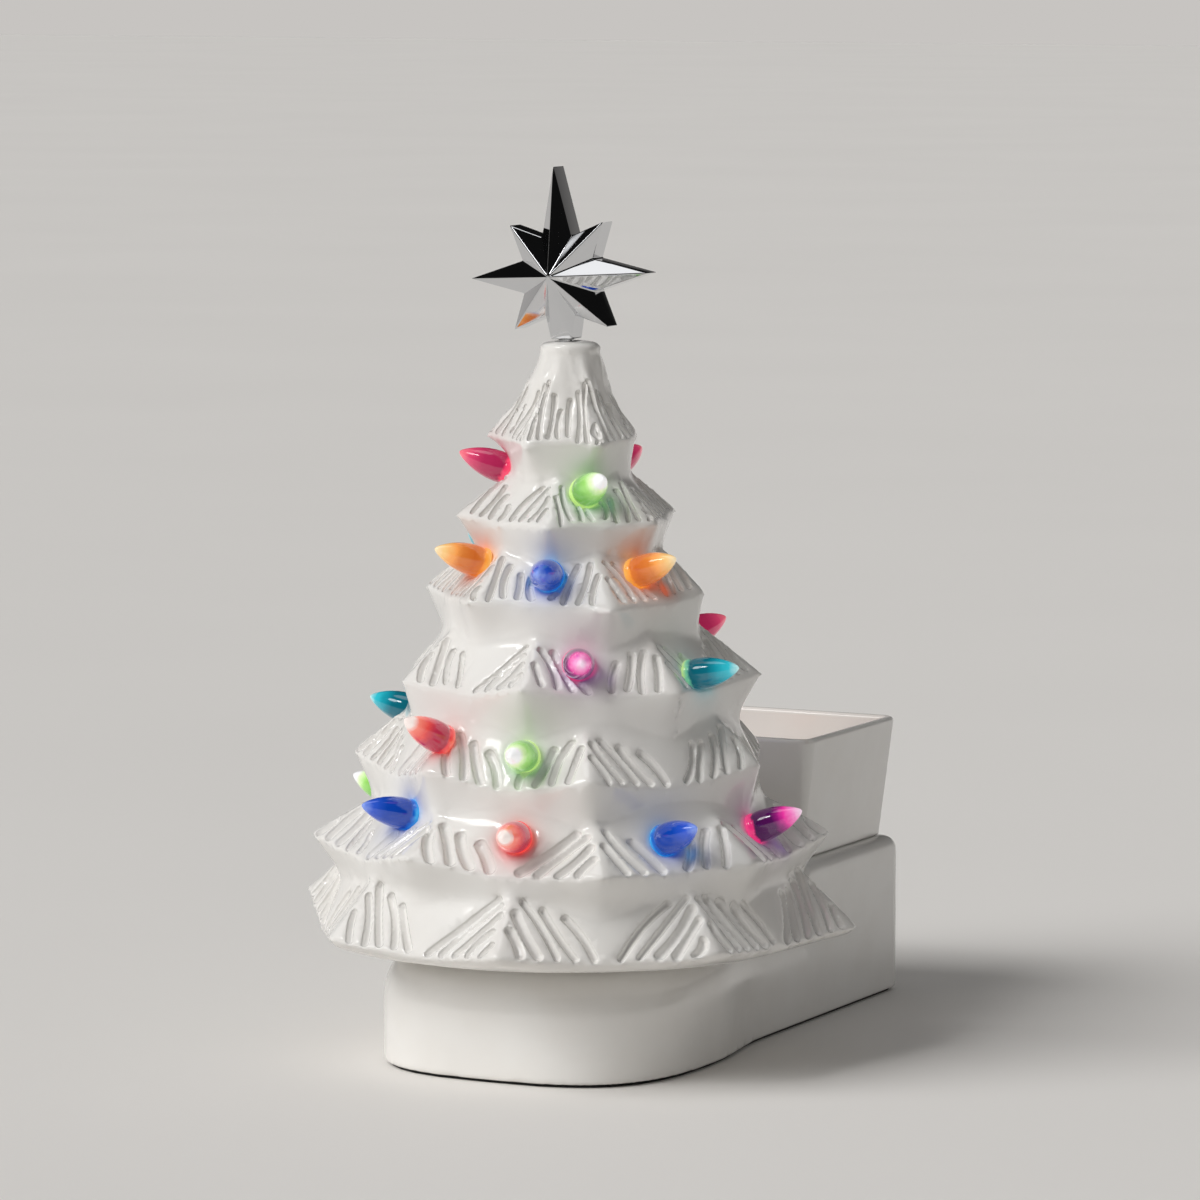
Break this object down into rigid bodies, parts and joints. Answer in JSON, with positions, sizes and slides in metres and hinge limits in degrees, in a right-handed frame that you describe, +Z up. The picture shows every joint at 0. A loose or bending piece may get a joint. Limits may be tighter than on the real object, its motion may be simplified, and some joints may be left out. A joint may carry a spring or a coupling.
{
  "type": "lit ceramic tree with warming dish",
  "caption": "White glazed ceramic tree with coloured light bulbs and a chrome star, on a base whose rear block warms a small dish.",
  "frame": {"origin": "on the ground under the tree's vertical axis", "axes": "+Z up, -Y towards the front of the tree, +Y towards the block with the dish"},
  "size_m": [0.1698, 0.2427, 0.278],
  "materials": {
    "glaze": "glossy white glaze over cast earthenware",
    "chrome": "bright vacuum-plated chrome",
    "white_plastic": "moulded",
    "rubber_pad": "foamed sheet",
    "steel": "zinc plated",
    "brass": "drawn shell",
    "lamp_glass": "frosted, lit",
    "aluminium": "turned",
    "mica": "pressed mica sheet",
    "black_plastic": "moulded",
    "bulb_pink": "clear coloured plastic, lit from inside",
    "bulb_green": "clear coloured plastic, lit from inside",
    "bulb_blue": "clear coloured plastic, lit from inside",
    "bulb_orange": "clear coloured plastic, lit from inside",
    "bulb_red": "clear coloured plastic, lit from inside",
    "bulb_teal": "clear coloured plastic, lit from inside",
    "bulb_magenta": "clear coloured plastic, lit from inside"
  },
  "bodies": {
    "base": {"base_shell": "glaze", "bottom_cover": "white_plastic", "foot_pad": "rubber_pad", "cover_screw_1": "steel", "cover_screw_2": "steel", "cover_screw_3": "steel", "cover_screw_4": "steel", "lamp_holder": "white_plastic", "holder_clip": "steel", "lamp_cap": "brass", "lamp_glass": "lamp_glass", "warming_plate": "aluminium", "heater_cup": "steel", "heater_disc": "mica", "insulator_disc": "white_plastic", "heater_screw_1": "steel", "heater_screw_2": "steel", "heater_screw_3": "steel", "thermal_fuse": "steel", "switch_body": "black_plastic", "cord_bush": "black_plastic", "bush_nut": "black_plastic", "terminal_block": "white_plastic", "lamp_lead": "white_plastic", "heater_lead": "white_plastic", "switch_lead": "white_plastic"},
    "tree": {"tree_shell": "glaze", "bulb_01_pink": "bulb_pink", "bulb_02_green": "bulb_green", "bulb_03_pink": "bulb_pink", "bulb_04_blue": "bulb_blue", "bulb_05_orange": "bulb_orange", "bulb_06_blue": "bulb_blue", "bulb_07_orange": "bulb_orange", "bulb_08_green": "bulb_green", "bulb_09_red": "bulb_red", "bulb_10_teal": "bulb_teal", "bulb_11_magenta": "bulb_magenta", "bulb_12_teal": "bulb_teal", "bulb_13_pink": "bulb_pink", "bulb_14_orange": "bulb_orange", "bulb_15_green": "bulb_green", "bulb_16_teal": "bulb_teal", "bulb_17_red": "bulb_red", "bulb_18_green": "bulb_green", "bulb_19_blue": "bulb_blue", "bulb_20_magenta": "bulb_magenta", "bulb_21_orange": "bulb_orange", "bulb_22_green": "bulb_green", "bulb_23_blue": "bulb_blue", "bulb_24_red": "bulb_red", "bulb_25_blue": "bulb_blue", "bulb_26_magenta": "bulb_magenta", "bulb_27_teal": "bulb_teal"},
    "star": {"star_topper": "chrome"},
    "dish": {"wax_dish": "glaze"},
    "rocker": {"switch_rocker": "black_plastic"}
  },
  "joints": [
    {"name": "tree_lift", "type": "slide", "parent": "base", "child": "tree", "axis": [0, 0, 1], "range_m": [0, 0.09]},
    {"name": "star_pull", "type": "slide", "parent": "tree", "child": "star", "axis": [-0.0523, 0, 0.9986], "range_m": [0, 0.016]},
    {"name": "dish_lift", "type": "slide", "parent": "base", "child": "dish", "axis": [0, 0, 1], "range_m": [0, 0.06]},
    {"name": "switch_rock", "type": "hinge", "parent": "base", "child": "rocker", "pos_m": [0.022, 0.1513, 0.026], "axis": [1, 0, 0], "range_deg": [-16, 0]}
  ]
}
